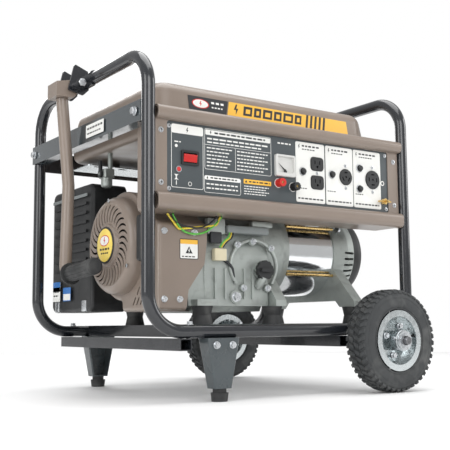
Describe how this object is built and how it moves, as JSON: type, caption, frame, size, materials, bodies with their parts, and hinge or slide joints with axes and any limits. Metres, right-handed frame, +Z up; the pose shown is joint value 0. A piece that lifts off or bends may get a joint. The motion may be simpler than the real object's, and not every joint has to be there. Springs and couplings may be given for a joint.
{
  "type": "portable generator",
  "caption": "Petrol generator in a tube frame with two wheels, legs, a folding handle, recoil starter and a front outlet panel.",
  "frame": {"origin": "bottom centre of the whole generator, on the floor", "axes": "+Z up, control panel faces -Y, recoil starter and folding handle at -X, wheels near +X"},
  "size_m": [0.7392, 0.724, 0.6806],
  "materials": {
    "frame_black": "gloss black powder coat",
    "plate_grey": "gloss dark grey paint",
    "leg_grey": "gloss dark grey paint",
    "taupe": "semi-gloss taupe paint",
    "panel_grey": "satin dark grey paint",
    "black_plastic": "fine grained moulding",
    "black_rubber": "moulded rubber",
    "tyre_rubber": "treaded rubber",
    "zinc": "zinc plated steel",
    "dark_steel": "oiled steel",
    "cast_alu": "sand cast, machined faces",
    "chrome_band": "polished band",
    "cast_iron": "cast, unpainted",
    "switch_red": "gloss red moulding",
    "post_red": "gloss red moulding",
    "meter_white": "white dial in a pale case",
    "brass": "machined",
    "hot_steel": "heat darkened steel",
    "lead_yellow": "pvc insulation",
    "copper_steel": "laminated steel with copper windings"
  },
  "bodies": {
    "generator": {"frame_hoop_left": "frame_black", "frame_hoop_right": "frame_black", "frame_rails": "frame_black", "cross_plates": "plate_grey", "tank_support_rail": "frame_black", "crossmembers": "frame_black", "legs": "leg_grey", "leg_feet": "black_rubber", "wheel_axle": "dark_steel", "axle_brackets": "leg_grey", "fuel_tank_upper": "taupe", "fuel_tank_lower": "taupe", "heat_shield": "zinc", "fuel_valve": "cast_alu", "panel_housing": "taupe", "panel_face": "panel_grey", "switch_body": "black_plastic", "voltmeter": "meter_white", "duplex_outlet": "black_plastic", "twist_outlets": "black_plastic", "breaker_bodies": "black_plastic", "panel_studs": "brass", "crankcase": "cast_alu", "cylinder": "cast_iron", "cylinder_head": "cast_alu", "fan_shroud": "taupe", "recoil_cover": "taupe", "air_cleaner": "black_plastic", "carburettor": "cast_alu", "muffler": "hot_steel", "rubber_mounts": "black_rubber", "alternator_adapter": "cast_alu", "stator": "chrome_band", "end_bell": "cast_alu", "end_cover": "black_plastic", "handle_bracket": "frame_black", "engine_leads": "lead_yellow"},
    "handle": {"handle_arm": "taupe", "handle_grip": "black_rubber"},
    "wheel_front": {"tyre_front": "tyre_rubber", "rim_front": "zinc"},
    "wheel_rear": {"tyre_rear": "tyre_rubber", "rim_rear": "zinc"},
    "crank_train": {"crankshaft": "dark_steel", "flywheel": "cast_iron", "rotor": "copper_steel"},
    "recoil_grip": {"recoil_grip": "black_plastic"},
    "fuel_cap": {"fuel_cap": "black_plastic"},
    "fuel_valve_lever": {"fuel_valve_lever": "black_plastic"},
    "choke_lever": {"choke_lever": "dark_steel"},
    "switch_rocker": {"switch_rocker": "switch_red"},
    "breaker_button_1": {"breaker_button_1": "black_plastic"},
    "breaker_button_2": {"breaker_button_2": "black_plastic"},
    "breaker_button_3": {"breaker_button_3": "black_plastic"},
    "breaker_button_4": {"breaker_button_4": "black_plastic"},
    "dc_post_red": {"dc_post_red": "post_red"},
    "dc_post_black": {"dc_post_black": "black_plastic"},
    "ground_wing_nut": {"ground_wing_nut": "brass"},
    "voltmeter_needle": {"voltmeter_needle": "black_plastic"},
    "oil_filler_cap": {"oil_filler_cap": "black_plastic"}
  },
  "joints": [
    {"name": "handle_fold", "type": "hinge", "parent": "generator", "child": "handle", "pos_m": [-0.3296, 0.028, 0.636], "axis": [0, 1, 0], "range_deg": [0, 90]},
    {"name": "wheel_front_spin", "type": "hinge", "parent": "generator", "child": "wheel_front", "pos_m": [0.2464, -0.31, 0.106], "axis": [0, 1, 0], "continuous": true},
    {"name": "wheel_rear_spin", "type": "hinge", "parent": "generator", "child": "wheel_rear", "pos_m": [0.2464, 0.31, 0.106], "axis": [0, 1, 0], "continuous": true},
    {"name": "crank_spin", "type": "hinge", "parent": "generator", "child": "crank_train", "pos_m": [0.0264, -0.07, 0.3], "axis": [1, 0, 0], "continuous": true},
    {"name": "recoil_pull", "type": "slide", "parent": "generator", "child": "recoil_grip", "axis": [-1, 0, 0], "range_m": [0, 0.6], "stiffness_N_per_m": 40},
    {"name": "fuel_cap_turn", "type": "hinge", "parent": "generator", "child": "fuel_cap", "pos_m": [-0.0136, 0.04, 0.62], "axis": [0, 0, 1], "range_deg": [0, 90]},
    {"name": "fuel_valve_turn", "type": "hinge", "parent": "generator", "child": "fuel_valve_lever", "pos_m": [-0.2626, 0.017, 0.46], "axis": [-1, 0, 0], "range_deg": [0, 90]},
    {"name": "choke_turn", "type": "hinge", "parent": "generator", "child": "choke_lever", "pos_m": [-0.1666, 0.096, 0.392], "axis": [0, 1, 0], "range_deg": [-26, 26]},
    {"name": "engine_switch", "type": "hinge", "parent": "generator", "child": "switch_rocker", "pos_m": [-0.2121, -0.251, 0.453], "axis": [-1, 0, 0], "range_deg": [0, 12]},
    {"name": "breaker_1_reset", "type": "slide", "parent": "generator", "child": "breaker_button_1", "axis": [0, 1, 0], "range_m": [0, 0.003], "stiffness_N_per_m": 400},
    {"name": "breaker_2_reset", "type": "slide", "parent": "generator", "child": "breaker_button_2", "axis": [0, 1, 0], "range_m": [0, 0.003], "stiffness_N_per_m": 400},
    {"name": "breaker_3_reset", "type": "slide", "parent": "generator", "child": "breaker_button_3", "axis": [0, 1, 0], "range_m": [0, 0.003], "stiffness_N_per_m": 400},
    {"name": "breaker_4_reset", "type": "slide", "parent": "generator", "child": "breaker_button_4", "axis": [0, 1, 0], "range_m": [0, 0.003], "stiffness_N_per_m": 400},
    {"name": "dc_post_red_turn", "type": "hinge", "parent": "generator", "child": "dc_post_red", "pos_m": [-0.0016, -0.262, 0.424], "axis": [0, -1, 0], "range_deg": [0, 720]},
    {"name": "dc_post_black_turn", "type": "hinge", "parent": "generator", "child": "dc_post_black", "pos_m": [0.0359, -0.262, 0.419], "axis": [0, -1, 0], "range_deg": [0, 720]},
    {"name": "ground_nut_turn", "type": "hinge", "parent": "generator", "child": "ground_wing_nut", "pos_m": [0.2874, -0.262, 0.407], "axis": [0, -1, 0], "range_deg": [0, 720]},
    {"name": "voltmeter_swing", "type": "hinge", "parent": "generator", "child": "voltmeter_needle", "pos_m": [0.0144, -0.259, 0.4505], "axis": [0, 1, 0], "range_deg": [0, 98], "stiffness_Nm_per_rad": 0.002},
    {"name": "oil_cap_turn", "type": "hinge", "parent": "generator", "child": "oil_filler_cap", "pos_m": [-0.0116, -0.215, 0.25], "axis": [0, -1, 0], "range_deg": [0, 720]}
  ]
}
